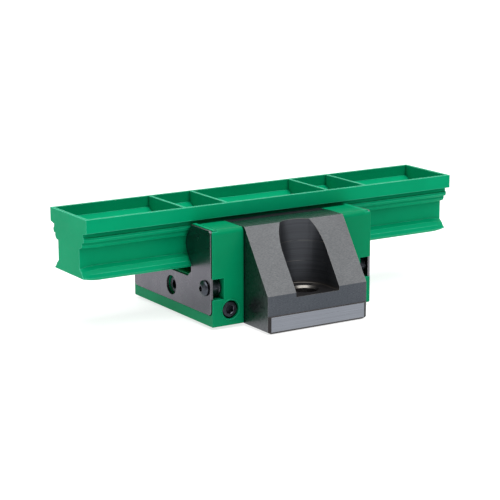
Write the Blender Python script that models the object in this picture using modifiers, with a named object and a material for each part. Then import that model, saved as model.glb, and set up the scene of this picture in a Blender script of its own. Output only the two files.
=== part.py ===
"""Short, low, flanged linear guide carriage on its moulded transport rail.

It lies on its mounting face (z = 0), with the channel for the rail open upwards. The rail runs along X,
the carriage's centre is x = y = 0, -Y is the near side. The pieces are modelled in millimetres, and the last
lines turn their meshes into metres.
"""

import math

import bmesh
import bpy
from mathutils import Matrix, Vector

MM = 0.001
GAP = 0.3  # between pieces that touch

# Steel body
FLANGE_WIDTH = 90.0
STEEL_LENGTH = 42.4
LEG_TOP = 36.1
LEG_WIDTH = 58.4
FLANGE_HEIGHT = 13.7
STRIP_HEIGHT = 6.2  # ground locating strip on each flange
STRIP_STEP = 0.45
EDGE_CHAMFER = 0.85
SCREW_Y = 36.0
SCREW_HOLE_RADIUS = 4.5
SCREW_POCKET_RADIUS = 9.25
SCREW_POCKET_FLOOR = 12.15
HOLE_CHAMFER = 0.8
MOUTH_CHAMFER = 1.0  # of the fixing holes, at the mounting face
LEDGE_RISE = 0.3  # of the flange's ledge above the strip, from its edge inwards

# Ball circuits: centres of the loaded rows and of the return bores in the far leg
BALL_RADIUS = 2.38
BALL_PITCH = 5.0
RACEWAY_RADIUS = 2.7
LOW_ROW = Vector((15.0, 16.3))
HIGH_ROW = Vector((14.9, 26.4))
LOW_RETURN = Vector((21.3, 8.4))
HIGH_RETURN = Vector((22.1, 27.5))
CHANNEL_FLOOR = 13.0
TURN_GUIDE_INSET = 0.8
TURN_GUIDE_HALF_WIDTH = 2.1
TUBE_OUTER = 3.2
TUBE_INNER = 2.75
RETURN_BORE = TUBE_OUTER + GAP
INSERT_REACH = STEEL_LENGTH / 2 - 0.1  # half length of the tubes, retainers and long seals

# Sections of the pieces clipped into the channel's far side
RETAINER_SECTION = (
    (14.7, 19.5), (16.1, 19.5), (16.1, 23.2), (14.3, 23.2), (14.15, 22.9), (14.7, 21.5),
)
INNER_SEAL_SECTION = (
    (8.8, CHANNEL_FLOOR + GAP), (11.8, CHANNEL_FLOOR + GAP), (11.8, 14.9), (11.4, 16.0), (11.0, 15.9),
    (11.2, 14.6), (8.8, 14.6),
)
LEG_SEAL_SECTION = (
    (15.1, 32.5), (19.3, 32.6), (19.3, 35.9), (14.3, 35.9), (13.5, 34.9), (13.6, 34.5), (15.1, 34.1),
)

# End pieces, front plates and wipers
END_START = STEEL_LENGTH / 2 + 0.25
END_FACE = 34.26
END_HALF_WIDTH = 28.9
END_BOTTOM = 0.84
END_TOP = 36.1
PLATE_FACE = 34.66
PLATE_THICKNESS = 1.0
PLATE_HALF_WIDTH = 28.1
PLATE_BOTTOM = 5.15
PLATE_TOP = 35.8
WIPER_THICKNESS = 1.1
RECESS_FLOOR = PLATE_FACE - PLATE_THICKNESS - WIPER_THICKNESS - 2 * GAP
PORT_Z = 10.75
PORT_RADIUS = 3.1
PORT_BOTTOM_X = 26.0
FRONT_PLUG_X = (29.6, 33.4)
PLATE_PORT_RADIUS = 3.6
WIPER_PORT_RADIUS = 4.0
SIDE_PORT_X = 26.9
SIDE_PORT_Z = 6.65
SIDE_PORT_BOTTOM_Y = 25.2
SIDE_PLUG_Y = (25.5, 28.4)
PLUG_SOCKET = 3.0
PLUG_SOCKET_DEPTH = 1.8
COLLAR_Y = 24.0
COLLAR_Z = 14.5
COLLAR_FLANGE_RADIUS = 3.35
COLLAR_FLANGE = 0.8
COLLAR_HEXAGON = 5.8
COLLAR_THREAD_DEPTH = 9.0
NOTCH_START = 29.6
NOTCH_LOW = 10.75
NOTCH_HIGH = 18.5
NOTCH_INNER_Y = 20.4
THREAD_RADIUS = 1.5
THREAD_HOLE = THREAD_RADIUS + GAP
BUTTON_RADIUS = 2.9
BUTTON_HEIGHT = 1.65
BUTTON_SOCKET = 2.0
BUTTON_SHANK = 3.2

# Transport rail
RAIL_CENTRE = 3.5
RAIL_LENGTH = 159.0
RAIL_TAPER = 6.0
RAIL_TOP = 42.0
RAIL_WALL = 1.2
RIB_THICKNESS = 1.0
RIB_PLACES = (-39.5, -22.0, 22.0, 39.5)
TRAY_HALF_WIDTH = 12.8
TRAY_WALL_FOOT = 38.0
SHELF_INNER = (7.4, 34.9)
CAVITY_FLOOR = (7.0, 21.2)

# Right half of the rail's section, from the bottom up: along its length, and at its two ends
RAIL_SECTION = (
    (11.2, 19.6), (12.2, 20.6), (12.2, 22.1), (10.9, 23.5), (9.4, 23.95), (8.6, 24.4),
    (8.6, 30.9), (9.9, 31.0), (10.45, 31.4), (11.0, 32.3), (11.0, 33.25),
    (12.05, 33.4), (12.45, 33.8), (12.8, 34.4), (12.6, 35.1), (12.1, 35.4),
    (11.8, 36.6), (14.0, 37.05), (14.0, RAIL_TOP),
)
RAIL_END_SECTION = (
    (11.1, 20.35), (11.3, 20.6), (10.4, 21.3), (9.75, 22.35), (9.0, 23.0), (8.2, 23.6),
    (8.2, 31.0), (9.2, 31.1), (10.0, 31.5), (10.5, 32.3), (10.5, 33.25),
    (11.3, 33.4), (11.7, 33.8), (11.9, 34.5), (11.7, 35.1), (11.3, 35.4),
    (11.2, 36.4), (14.0, 37.05), (14.0, RAIL_TOP),
)

# Right half of the rail's opening, from the bottom up: in the front plates, end pieces and wipers
PLATE_OPENING = (
    (11.9, 16.6), (14.5, 18.7), (14.5, 21.4), (13.5, 22.7), (11.4, 26.0), (10.5, 28.4),
    (11.2, 31.1), (13.35, 33.7), (14.4, 35.4), (14.4, PLATE_TOP),
)
END_OPENING = (
    (12.2, 15.9), (14.9, 18.2), (14.9, 21.7), (13.9, 23.1), (11.9, 26.3), (11.0, 28.5),
    (11.7, 30.9), (13.6, 33.1), (16.0, 33.6), (16.0, END_TOP),
)
WIPER_TOP = PLATE_TOP - 0.5
WIPER_OPENING = (
    (11.7, 17.1), (14.1, 19.0), (14.1, 21.2), (13.1, 22.5), (11.0, 25.85), (10.1, 28.4),
    (10.85, 31.3), (13.0, 33.95), (13.9, WIPER_TOP),
)

ROWS = {"low": (LOW_ROW, LOW_RETURN), "high": (HIGH_ROW, HIGH_RETURN)}

# Local X, Y, Z of an outline and its depth, by the axis that the depth runs along
OUTLINE_AXES = {
    "X": Matrix(((0, 0, 1), (1, 0, 0), (0, 1, 0))).to_4x4(),  # outline in (y, z)
    "Y": Matrix(((1, 0, 0), (0, 0, -1), (0, 1, 0))).to_4x4(),  # outline in (x, z), depth along -Y
    "Z": Matrix.Identity(4),  # outline in (x, y)
}


def clear_scene():
    for obj in list(bpy.data.objects):
        bpy.data.objects.remove(obj, do_unlink=True)


def new_material(name, colour, roughness, metallic):
    material = bpy.data.materials.new(name)
    material.use_nodes = True
    shader = material.node_tree.nodes["Principled BSDF"]
    shader.inputs["Base Color"].default_value = (*colour, 1.0)
    shader.inputs["Roughness"].default_value = roughness
    shader.inputs["Metallic"].default_value = metallic
    return material


def new_piece(name, mesh, material=None):
    obj = bpy.data.objects.new(name, mesh)
    parts.objects.link(obj)
    if material:
        mesh.materials.clear()
        mesh.materials.append(material)
    return obj


def mesh_of(bm, name):
    """A bmesh as a mesh, with its faces turned outwards."""
    bmesh.ops.recalc_face_normals(bm, faces=bm.faces)
    if bm.calc_volume(signed=True) < 0:
        bmesh.ops.reverse_faces(bm, faces=bm.faces)
    mesh = bpy.data.meshes.new(name)
    bm.to_mesh(mesh)
    bm.free()
    return mesh


def evaluated_mesh(obj):
    depsgraph = bpy.context.evaluated_depsgraph_get()
    return bpy.data.meshes.new_from_object(obj.evaluated_get(depsgraph))


def remove(obj):
    bpy.data.objects.remove(obj, do_unlink=True)


# ---- Shapes ----


def fillet(points, radii, steps=4):
    """The outline with an arc in place of each corner whose index has a radius."""
    rounded = []
    for index, corner in enumerate(points):
        if index not in radii:
            rounded.append(tuple(corner))
            continue
        corner = Vector(corner)
        before = (Vector(points[index - 1]) - corner).normalized()
        after = (Vector(points[(index + 1) % len(points)]) - corner).normalized()
        half_angle = before.angle(after) / 2
        centre = corner + (before + after).normalized() * radii[index] / math.sin(half_angle)
        start = corner + before * radii[index] / math.tan(half_angle) - centre
        end = corner + after * radii[index] / math.tan(half_angle) - centre
        sweep = start.angle_signed(end)
        for step in range(steps + 1):
            turn = Matrix.Rotation(-sweep * step / steps, 2)
            rounded.append(tuple(centre + turn @ start))
    return rounded


def arc(centre, radius, start, end, steps):
    """Points on an arc, its angles in degrees from the first axis."""
    angles = [math.radians(start + (end - start) * step / steps) for step in range(steps + 1)]
    return [(centre[0] + radius * math.cos(a), centre[1] + radius * math.sin(a)) for a in angles]


def both_halves(right):
    """A closed outline from its right half, listed bottom to top."""
    return list(right) + [(-u, v) for u, v in reversed(right)]


def bar(name, outline, axis, low, high, material=None):
    """A flat outline given depth along an axis: a filled 2D curve, turned into a mesh."""
    curve = bpy.data.curves.new(name, "CURVE")
    curve.dimensions = "2D"
    curve.fill_mode = "BOTH"
    curve.extrude = (high - low) / 2
    spline = curve.splines.new("POLY")
    spline.points.add(len(outline) - 1)
    for point, (u, v) in zip(spline.points, outline):
        point.co = (u, v, 0, 1)
    spline.use_cyclic_u = True
    guide = new_piece(name + "_curve", curve)
    bm = bmesh.new()
    bm.from_mesh(evaluated_mesh(guide))
    remove(guide)
    bmesh.ops.remove_doubles(bm, verts=bm.verts, dist=1e-4)
    middle = (low + high) / 2
    offset = Matrix.Translation((0, 0, -middle if axis == "Y" else middle))
    bm.transform(OUTLINE_AXES[axis] @ offset)
    return new_piece(name, mesh_of(bm, name), material)


def rod(name, axis, centre, radius, low, high, segments=24, top_radius=None, material=None):
    """A cylinder or cone along an axis; centre holds the two other coordinates, in X, Y, Z order."""
    bm = bmesh.new()
    bmesh.ops.create_cone(
        bm, cap_ends=True, segments=segments, depth=high - low, radius1=radius,
        radius2=radius if top_radius is None else top_radius,
    )
    middle = (low + high) / 2
    if axis == "X":
        place = Matrix.Translation((middle, *centre)) @ Matrix.Rotation(math.pi / 2, 4, "Y")
    elif axis == "Y":
        place = Matrix.Translation((centre[0], middle, centre[1])) @ Matrix.Rotation(-math.pi / 2, 4, "X")
    else:
        place = Matrix.Translation((*centre, middle))
    bm.transform(place)
    return new_piece(name, mesh_of(bm, name), material)


def block(name, low, high):
    bm = bmesh.new()
    bmesh.ops.create_cube(bm, size=1.0)
    size = Vector(high) - Vector(low)
    bmesh.ops.scale(bm, vec=size, verts=bm.verts)
    bmesh.ops.translate(bm, vec=(Vector(high) + Vector(low)) / 2, verts=bm.verts)
    return new_piece(name, mesh_of(bm, name))


def turned(name, profile, segments, place, material=None):
    """A profile of (radius, height) pairs, listed from the top down, turned about its axis."""
    mesh = bpy.data.meshes.new(name)
    points = [(r, 0, h) for r, h in profile]
    mesh.from_pydata(points, [(i, i + 1) for i in range(len(points) - 1)], [])
    guide = new_piece(name + "_profile", mesh)
    screw = guide.modifiers.new("Turn", "SCREW")
    screw.axis = "Z"
    screw.steps = segments
    screw.render_steps = segments
    screw.use_merge_vertices = True
    screw.merge_threshold = 0.0001
    bm = bmesh.new()
    bm.from_mesh(evaluated_mesh(guide))
    remove(guide)
    bmesh.ops.remove_doubles(bm, verts=bm.verts, dist=1e-4)
    bm.transform(place)
    return new_piece(name, mesh_of(bm, name), material)


def boolean(target, tool, operation="DIFFERENCE"):
    """Cut target with tool, or join them, and remove the tool."""
    modifier = target.modifiers.new("Boolean", "BOOLEAN")
    modifier.operation = operation
    modifier.solver = "EXACT"
    modifier.object = tool
    mesh = evaluated_mesh(target)
    target.modifiers.clear()
    target.data = mesh
    remove(tool)


def mirrored(obj, name, axis):
    """A copy of obj on the other side of the plane x = 0 or y = 0."""
    flip = Matrix.Scale(-1, 4, Vector((1, 0, 0)) if axis == "X" else Vector((0, 1, 0)))
    bm = bmesh.new()
    bm.from_mesh(obj.data)
    bm.transform(flip)
    bmesh.ops.reverse_faces(bm, faces=bm.faces)
    mesh = bpy.data.meshes.new(name)
    bm.to_mesh(mesh)
    bm.free()
    return new_piece(name, mesh, obj.data.materials[0])


def mirror_to_near(obj):
    return mirrored(obj, obj.name.replace("far", "near"), "Y")


def mirror_to_left(obj):
    return mirrored(obj, obj.name.replace("right", "left"), "X")


def mirror_to_corners(obj):
    """The right far piece's copies at the three other corners."""
    mirror_to_left(obj)
    mirror_to_left(mirror_to_near(obj))


def hexagon_rod(name, axis, centre, across_flats, low, high):
    return rod(name, axis, centre, across_flats / math.sqrt(3), low, high, segments=6)


# ---- Steel body ----


def saddle_channel():
    """Right half of the channel in the steel body, from its floor up to the leg's end."""
    return (
        [(12.4, CHANNEL_FLOOR), (13.1, 13.6)]
        + arc(LOW_ROW, RACEWAY_RADIUS, -125, 25, 8)
        + [(16.6, 19.3), (16.5, 23.5)]
        + arc(HIGH_ROW, RACEWAY_RADIUS, -25, 100, 7)
        + [(14.7, 30.6), (15.2, 31.8), (19.6, 32.2), (19.6, LEG_TOP)]
    )


def screw_hole(y):
    """Cutter for a fixing hole, chamfered at the pocket's floor and at the mounting face."""
    wide = SCREW_HOLE_RADIUS + HOLE_CHAMFER
    top = SCREW_POCKET_FLOOR
    profile = [
        (0, top + 0.5), (wide + 0.5, top + 0.5), (SCREW_HOLE_RADIUS, top - HOLE_CHAMFER),
        (SCREW_HOLE_RADIUS, 0.5), (SCREW_HOLE_RADIUS + MOUTH_CHAMFER, -0.5), (0, -0.5),
    ]
    return turned("hole", profile, 32, Matrix.Translation((0, y, 0)))


def strip_end_cutter(end, side):
    """Bevels one end of a flange's ground strip, up to the ledge above it."""
    reach = end * STEEL_LENGTH / 2
    edge = side * FLANGE_WIDTH / 2
    corner = [
        (reach - end * 1.3, edge + side * 0.04), (reach + end * 0.6, edge + side * 0.04),
        (reach + end * 0.6, edge - side * 0.75),
    ]
    return bar("strip_end", corner, "Z", -1, STRIP_HEIGHT + 2 * GAP)


def end_chamfer_cutter(end):
    """Bevels the mounting face's edge at one end."""
    reach = end * STEEL_LENGTH / 2
    edge = [(reach - end * 1.5, -0.01), (reach + end, -0.01), (reach + end, 1.4)]
    return bar("end_chamfer", edge, "Y", -FLANGE_WIDTH / 2 - 1, FLANGE_WIDTH / 2 + 1)


def pocket_cutter(side):
    """The screw pocket of one flange, round at its back and open to the flange's side."""
    opening = side * (FLANGE_WIDTH / 2 + 1)
    outline = [(-SCREW_POCKET_RADIUS, opening)]
    outline += arc((0, side * SCREW_Y), SCREW_POCKET_RADIUS, 180, 180 + side * 180, 24)
    outline += [(SCREW_POCKET_RADIUS, opening)]
    return bar("pocket", outline, "Z", SCREW_POCKET_FLOOR, LEG_TOP + 1)


def saddle_plate(material):
    half_width = FLANGE_WIDTH / 2
    flange_side = half_width - STRIP_STEP
    outer = [
        (LEG_WIDTH / 2, LEG_TOP), (flange_side, FLANGE_HEIGHT), (flange_side, STRIP_HEIGHT + LEDGE_RISE),
        (half_width, STRIP_HEIGHT), (half_width, EDGE_CHAMFER), (half_width - EDGE_CHAMFER, 0),
    ]
    reach = STEEL_LENGTH / 2
    body = bar("saddle_plate", both_halves(saddle_channel() + outer), "X", -reach, reach, material)
    for side in (-1, 1):
        boolean(body, end_chamfer_cutter(side))
        boolean(body, pocket_cutter(side))
        boolean(body, screw_hole(side * SCREW_Y))
        for row_return in (LOW_RETURN, HIGH_RETURN):
            bore = (side * row_return.x, row_return.y)
            boolean(body, rod("return_bore", "X", bore, RETURN_BORE, -reach - 1, reach + 1, 20))
        for end in (-1, 1):
            boolean(body, strip_end_cutter(end, side))
            low, high = sorted((end * (reach - COLLAR_THREAD_DEPTH), end * (reach + 1)))
            boolean(body, rod("thread", "X", (side * COLLAR_Y, COLLAR_Z), THREAD_HOLE, low, high, 16))
    return body


# ---- Ball circuits ----


def turn_frame(row, row_return):
    """Middle of a turn in the far leg, its radius, and its axes along the rail and across the turn."""
    middle = (row + row_return) / 2
    across = (row_return - row).normalized()
    across = Vector((0, across.x, across.y))
    return Vector((0, middle.x, middle.y)), (row_return - row).length / 2, Vector((1, 0, 0)), across


def turn_place(row, row_return):
    """Places a ring or disc made in the XY plane at a turn at the steel body's right end."""
    middle, _, along, across = turn_frame(row, row_return)
    place = Matrix((along, across, along.cross(across))).transposed().to_4x4()
    place.translation = middle + along * (STEEL_LENGTH / 2)
    return place


def ball_chain(name, row, row_return, material):
    """Closed chain of balls: loaded row, turn, return row, turn, as a tube that swells at each ball."""
    middle, radius, along, across = turn_frame(row, row_return)
    straight = STEEL_LENGTH
    loop = 2 * straight + 2 * math.pi * radius
    balls = math.floor(loop / BALL_PITCH)
    pitch = loop / balls
    swell = ((0.0, 0.25), (0.23, 0.86), (0.5, 1.0), (0.77, 0.86))
    curve = bpy.data.curves.new(name, "CURVE")
    curve.dimensions = "3D"
    curve.bevel_depth = BALL_RADIUS
    curve.bevel_resolution = 1
    spline = curve.splines.new("POLY")
    spline.points.add(balls * len(swell) - 1)
    for index, point in enumerate(spline.points):
        ball, part = divmod(index, len(swell))
        point.co = (*loop_point((ball + swell[part][0]) * pitch, straight, radius, middle, along, across), 1)
        point.radius = swell[part][1]
    spline.use_cyclic_u = True
    guide = new_piece(name + "_curve", curve)
    bm = bmesh.new()
    bm.from_mesh(evaluated_mesh(guide))
    remove(guide)
    return new_piece(name, mesh_of(bm, name), material)


def loop_point(distance, straight, radius, middle, along, across):
    """A point on a circuit, at a distance from the start of its loaded row."""
    half_turn = math.pi * radius
    if distance < straight:
        return middle + along * (distance - straight / 2) - across * radius
    distance -= straight
    if distance < half_turn:
        angle = distance / radius
        return middle + along * (straight / 2 + radius * math.sin(angle)) - across * radius * math.cos(angle)
    distance -= half_turn
    if distance < straight:
        return middle + along * (straight / 2 - distance) + across * radius
    angle = (distance - straight) / radius
    return middle - along * (straight / 2 + radius * math.sin(angle)) + across * radius * math.cos(angle)


def turn_ring(name, row, row_return):
    """The ring that the balls of one turn run through."""
    radius = (row_return - row).length / 2
    bpy.ops.mesh.primitive_torus_add(
        major_segments=24, minor_segments=12, major_radius=radius, minor_radius=TUBE_INNER
    )
    ring = bpy.context.object
    bm = bmesh.new()
    bm.from_mesh(ring.data)
    remove(ring)
    bm.transform(turn_place(row, row_return))
    return new_piece(name, mesh_of(bm, name))


def turn_disc(name, row, row_return, disc_radius, half_width, material=None):
    bm = bmesh.new()
    bmesh.ops.create_cone(
        bm, cap_ends=True, segments=28, depth=2 * half_width, radius1=disc_radius, radius2=disc_radius
    )
    bm.transform(turn_place(row, row_return))
    return new_piece(name, mesh_of(bm, name), material)


def return_guide(name, row, row_return, material):
    """Half-round inner guide of a turn, hollowed around its rim for the balls."""
    radius = (row_return - row).length / 2
    guide = turn_disc(name, row, row_return, radius - TURN_GUIDE_INSET, TURN_GUIDE_HALF_WIDTH, material)
    boolean(guide, turn_ring("ring", row, row_return))
    start = END_START + 0.05
    boolean(guide, block("half", (-start, -60, -60), (start, 60, 60)))
    return guide


def return_tube(name, centre, material):
    tube = rod(name, "X", centre, TUBE_OUTER, -INSERT_REACH, INSERT_REACH, 16, material=material)
    boolean(tube, rod("inside", "X", centre, TUBE_INNER, -INSERT_REACH - 1, INSERT_REACH + 1, 16))
    return tube


def insert(name, section, material):
    """A piece of one section, clipped into the steel body's channel along its whole length."""
    return bar(name, section, "X", -INSERT_REACH, INSERT_REACH, material)


# ---- End pieces ----


def end_piece(name, material):
    """Right end piece: block with the rail's opening, ball turns, ports, notches and the plate's recess."""
    right = list(END_OPENING) + [(END_HALF_WIDTH, END_TOP), (END_HALF_WIDTH, END_BOTTOM)]
    outline = both_halves(right)
    corner = len(END_OPENING)
    last = len(outline) - 1
    outline = fillet(outline, {corner: 1.8, corner + 1: 0.5, last - corner: 1.8, last - corner - 1: 0.5}, 3)
    body = bar(name, outline, "X", END_START, END_FACE, material)
    gap_width = PLATE_HALF_WIDTH + GAP
    gap_bottom = PLATE_BOTTOM - GAP
    recess = [(gap_width, gap_bottom), (gap_width, 50), (-gap_width, 50), (-gap_width, gap_bottom)]
    boolean(body, bar("recess", fillet(recess, {0: 1.5, 3: 1.5}, 3), "X", RECESS_FLOOR, END_FACE + 5))
    boolean(body, rod("port", "X", (0, PORT_Z), PORT_RADIUS + GAP, PORT_BOTTOM_X, END_FACE, 20))
    for side in (-1, 1):
        low, high = sorted((side * NOTCH_INNER_Y, side * (END_HALF_WIDTH + 1)))
        boolean(body, block("notch", (NOTCH_START, low, NOTCH_LOW), (END_FACE + 1, high, NOTCH_HIGH)))
        centre = (side * COLLAR_Y, COLLAR_Z)
        boolean(body, rod("screw_way", "X", centre, THREAD_HOLE, END_START - 1, END_FACE, 16))
        low, high = sorted((side * SIDE_PORT_BOTTOM_Y, side * (END_HALF_WIDTH + 1)))
        boolean(body, rod("side_port", "Y", (SIDE_PORT_X, SIDE_PORT_Z), PORT_RADIUS + GAP, low, high, 20))
        for row, row_return in ROWS.values():
            at_row = Vector((side * row.x, row.y))
            at_return = Vector((side * row_return.x, row_return.y))
            radius = (row_return - row).length / 2
            boolean(body, turn_ring("turn", at_row, at_return))
            boolean(body, turn_disc("guide_seat", at_row, at_return, radius, TURN_GUIDE_HALF_WIDTH + GAP))
    return body


def end_plate(name, material):
    right = list(PLATE_OPENING) + [(PLATE_HALF_WIDTH, PLATE_TOP), (PLATE_HALF_WIDTH, PLATE_BOTTOM)]
    outline = both_halves(right)
    corner = len(right) - 2
    last = len(outline) - 1
    outline = fillet(outline, {corner: 1.5, corner + 1: 1.5, last - corner: 1.5, last - corner - 1: 1.5}, 4)
    plate = bar(name, outline, "X", PLATE_FACE - PLATE_THICKNESS, PLATE_FACE, material)
    boolean(plate, rod("port", "X", (0, PORT_Z), PLATE_PORT_RADIUS, PLATE_FACE - 3, PLATE_FACE + 3, 28))
    for side in (-1, 1):
        hole = rod("hole", "X", (side * COLLAR_Y, COLLAR_Z), THREAD_HOLE, PLATE_FACE - 3, PLATE_FACE + 3, 16)
        boolean(plate, hole)
    return plate


def end_wiper(name, material):
    """Wiper plate behind the front plate; its lip stands 0.4 further into the rail's opening."""
    half_width = PLATE_HALF_WIDTH - 0.6
    notch = NOTCH_INNER_Y - 0.2
    outer = [
        (half_width, WIPER_TOP), (half_width, NOTCH_HIGH + 0.2), (notch, NOTCH_HIGH + 0.2),
        (notch, NOTCH_LOW - 0.2), (half_width, NOTCH_LOW - 0.2), (half_width, PLATE_BOTTOM + 0.4),
    ]
    outline = both_halves(list(WIPER_OPENING) + outer)
    back = RECESS_FLOOR + GAP
    wiper = bar(name, outline, "X", back, back + WIPER_THICKNESS, material)
    boolean(wiper, rod("port", "X", (0, PORT_Z), WIPER_PORT_RADIUS, back - 1, back + 3, 20))
    return wiper


# ---- Screws and plugs ----


def plate_screw(name, material):
    """Button-head screw at the right far corner, its head 0.3 off the plate."""
    seat = PLATE_FACE + GAP
    angles = [math.radians(degrees) for degrees in (66, 48, 30, 10)]
    profile = [(0, BUTTON_HEIGHT)]
    profile += [(BUTTON_RADIUS * math.cos(angle), BUTTON_HEIGHT * math.sin(angle)) for angle in angles]
    profile += [(BUTTON_RADIUS, 0), (THREAD_RADIUS, 0), (THREAD_RADIUS, -BUTTON_SHANK), (0, -BUTTON_SHANK)]
    place = Matrix.Translation((seat, COLLAR_Y, COLLAR_Z)) @ Matrix.Rotation(math.pi / 2, 4, "Y")
    screw = turned(name, profile, 20, place, material)
    boolean(screw, hexagon_rod("socket", "X", (COLLAR_Y, COLLAR_Z), BUTTON_SOCKET, seat + 0.45, seat + 3))
    return screw


def collar_screw(name, material):
    """Shank into the steel, round flange on the end piece, hexagon up to the front plate, threaded inside."""
    centre = (COLLAR_Y, COLLAR_Z)
    flange = NOTCH_START + GAP
    hexagon_end = PLATE_FACE - PLATE_THICKNESS - GAP
    flange_end = flange + COLLAR_FLANGE
    screw = rod(name, "X", centre, COLLAR_FLANGE_RADIUS, flange, flange_end, 24, material=material)
    boolean(screw, hexagon_rod("hexagon", "X", centre, COLLAR_HEXAGON, flange + 0.5, hexagon_end), "UNION")
    shank_end = STEEL_LENGTH / 2 - COLLAR_THREAD_DEPTH + 0.5
    boolean(screw, rod("shank", "X", centre, THREAD_RADIUS, shank_end, flange + 0.4, 16), "UNION")
    boolean(screw, rod("inner_thread", "X", centre, THREAD_HOLE, flange + 0.3, hexagon_end + 1, 16))
    return screw


def plug(name, axis, centre, low, high, material):
    """Grub screw with a hexagon socket in its outer end."""
    screw = rod(name, axis, centre, PORT_RADIUS, low, high, 20, material=material)
    boolean(screw, hexagon_rod("socket", axis, centre, PLUG_SOCKET, high - PLUG_SOCKET_DEPTH, high + 1))
    return screw


# ---- Transport rail ----


def dummy_rail(material):
    """Loft between the end and the main sections, hollowed from above into ribbed pockets."""
    ends = (RAIL_CENTRE - RAIL_LENGTH / 2, RAIL_CENTRE + RAIL_LENGTH / 2)
    stations = (
        (ends[0], RAIL_END_SECTION), (ends[0] + RAIL_TAPER, RAIL_SECTION),
        (ends[1] - RAIL_TAPER, RAIL_SECTION), (ends[1], RAIL_END_SECTION),
    )
    bm = bmesh.new()
    loops = []
    for x, section in stations:
        verts = [bm.verts.new((x, y, z)) for y, z in both_halves(section)]
        loops.append([bm.edges.new((a, b)) for a, b in zip(verts, verts[1:] + verts[:1])])
    for first, second in zip(loops, loops[1:]):
        bmesh.ops.bridge_loops(bm, edges=first + second)
    bmesh.ops.holes_fill(bm, edges=bm.edges, sides=0)
    bmesh.ops.triangulate(bm, faces=bm.faces)
    rail = new_piece("dummy_rail", mesh_of(bm, "dummy_rail"), material)
    rib = RIB_THICKNESS / 2
    edges = [ends[0] + RAIL_WALL]
    for place in RIB_PLACES:
        edges += [RAIL_CENTRE + place - rib, RAIL_CENTRE + place + rib]
    edges.append(ends[1] - RAIL_WALL)
    tray_wall = [(TRAY_HALF_WIDTH, TRAY_WALL_FOOT), (TRAY_HALF_WIDTH, 50)]
    pocket = both_halves([CAVITY_FLOOR, SHELF_INNER] + tray_wall)
    for low, high in zip(edges[::2], edges[1::2]):
        boolean(rail, bar("pocket", pocket, "X", low, high))
    return rail


clear_scene()
parts = bpy.data.collections.new("linear_guide_carriage")
bpy.context.scene.collection.children.link(parts)

ground_steel = new_material("ground_steel", (0.27, 0.28, 0.30), 0.38, 1.0)
sheet_steel = new_material("sheet_steel", (0.36, 0.35, 0.37), 0.3, 1.0)
green_moulding = new_material("green_moulding", (0.005, 0.30, 0.16), 0.42, 0.0)
green_lip = new_material("green_lip", (0.004, 0.20, 0.11), 0.5, 0.0)
black_screw = new_material("black_screw", (0.03, 0.033, 0.04), 0.35, 1.0)
dark_seal = new_material("dark_seal", (0.02, 0.03, 0.028), 0.55, 0.0)
white_plastic = new_material("white_plastic", (0.7, 0.7, 0.66), 0.5, 0.0)
ball_steel = new_material("ball_steel", (0.6, 0.6, 0.62), 0.12, 1.0)

saddle_plate(ground_steel)
for piece in (
    end_piece("end_piece_right", green_moulding),
    end_plate("end_plate_right", sheet_steel),
    end_wiper("end_wiper_right", green_lip),
    plug("front_port_plug_right", "X", (0, PORT_Z), *FRONT_PLUG_X, black_screw),
):
    mirror_to_left(piece)
for piece in (
    plate_screw("plate_screw_right_far", black_screw),
    collar_screw("collar_screw_right_far", black_screw),
    plug("side_port_plug_right_far", "Y", (SIDE_PORT_X, SIDE_PORT_Z), *SIDE_PLUG_Y, black_screw),
    return_guide("return_guide_right_far_low", *ROWS["low"], white_plastic),
    return_guide("return_guide_right_far_high", *ROWS["high"], white_plastic),
):
    mirror_to_corners(piece)
for piece in (
    insert("leg_seal_far", LEG_SEAL_SECTION, dark_seal),
    insert("inner_seal_far", INNER_SEAL_SECTION, dark_seal),
    insert("ball_retainer_far", RETAINER_SECTION, white_plastic),
    return_tube("return_tube_far_low", LOW_RETURN, white_plastic),
    return_tube("return_tube_far_high", HIGH_RETURN, white_plastic),
    ball_chain("ball_chain_far_low", *ROWS["low"], ball_steel),
    ball_chain("ball_chain_far_high", *ROWS["high"], ball_steel),
):
    mirror_to_near(piece)
dummy_rail(green_moulding)

for obj in parts.objects:
    obj.data.transform(Matrix.Scale(MM, 4))
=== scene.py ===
"""Looks of the linear guide carriage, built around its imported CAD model.

The frame's CAD nodes give every place. The visible nodes and the ball circuits are replaced by finer meshes,
modelled in millimetres in the same frame and turned into metres. The other inner pieces keep their CAD meshes
and get finished materials.
"""

import math

import bmesh
import bpy
from mathutils import Matrix, Vector


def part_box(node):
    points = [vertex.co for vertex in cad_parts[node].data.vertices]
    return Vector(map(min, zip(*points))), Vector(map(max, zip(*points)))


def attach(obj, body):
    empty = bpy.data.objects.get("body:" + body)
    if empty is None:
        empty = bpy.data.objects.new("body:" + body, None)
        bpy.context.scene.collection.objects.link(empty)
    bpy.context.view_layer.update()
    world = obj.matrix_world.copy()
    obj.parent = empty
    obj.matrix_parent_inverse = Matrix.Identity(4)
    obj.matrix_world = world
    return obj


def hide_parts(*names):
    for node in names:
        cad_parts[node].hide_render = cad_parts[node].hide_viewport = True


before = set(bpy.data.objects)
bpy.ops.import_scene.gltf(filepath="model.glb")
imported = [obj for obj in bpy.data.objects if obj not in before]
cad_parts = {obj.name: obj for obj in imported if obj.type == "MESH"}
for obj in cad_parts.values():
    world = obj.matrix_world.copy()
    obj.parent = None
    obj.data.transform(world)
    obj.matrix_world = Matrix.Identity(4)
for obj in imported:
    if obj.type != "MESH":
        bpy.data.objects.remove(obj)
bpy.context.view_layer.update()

MM = 0.001
CARRIAGE = "carriage"
RAIL = "transport_rail"


def box_mm(node):
    """A CAD node's lowest and highest corners, in millimetres."""
    low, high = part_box(node)
    return low / MM, high / MM


# ---- Dimensions, taken from the frame or repeated from the CAD design, in millimetres ----

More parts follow.
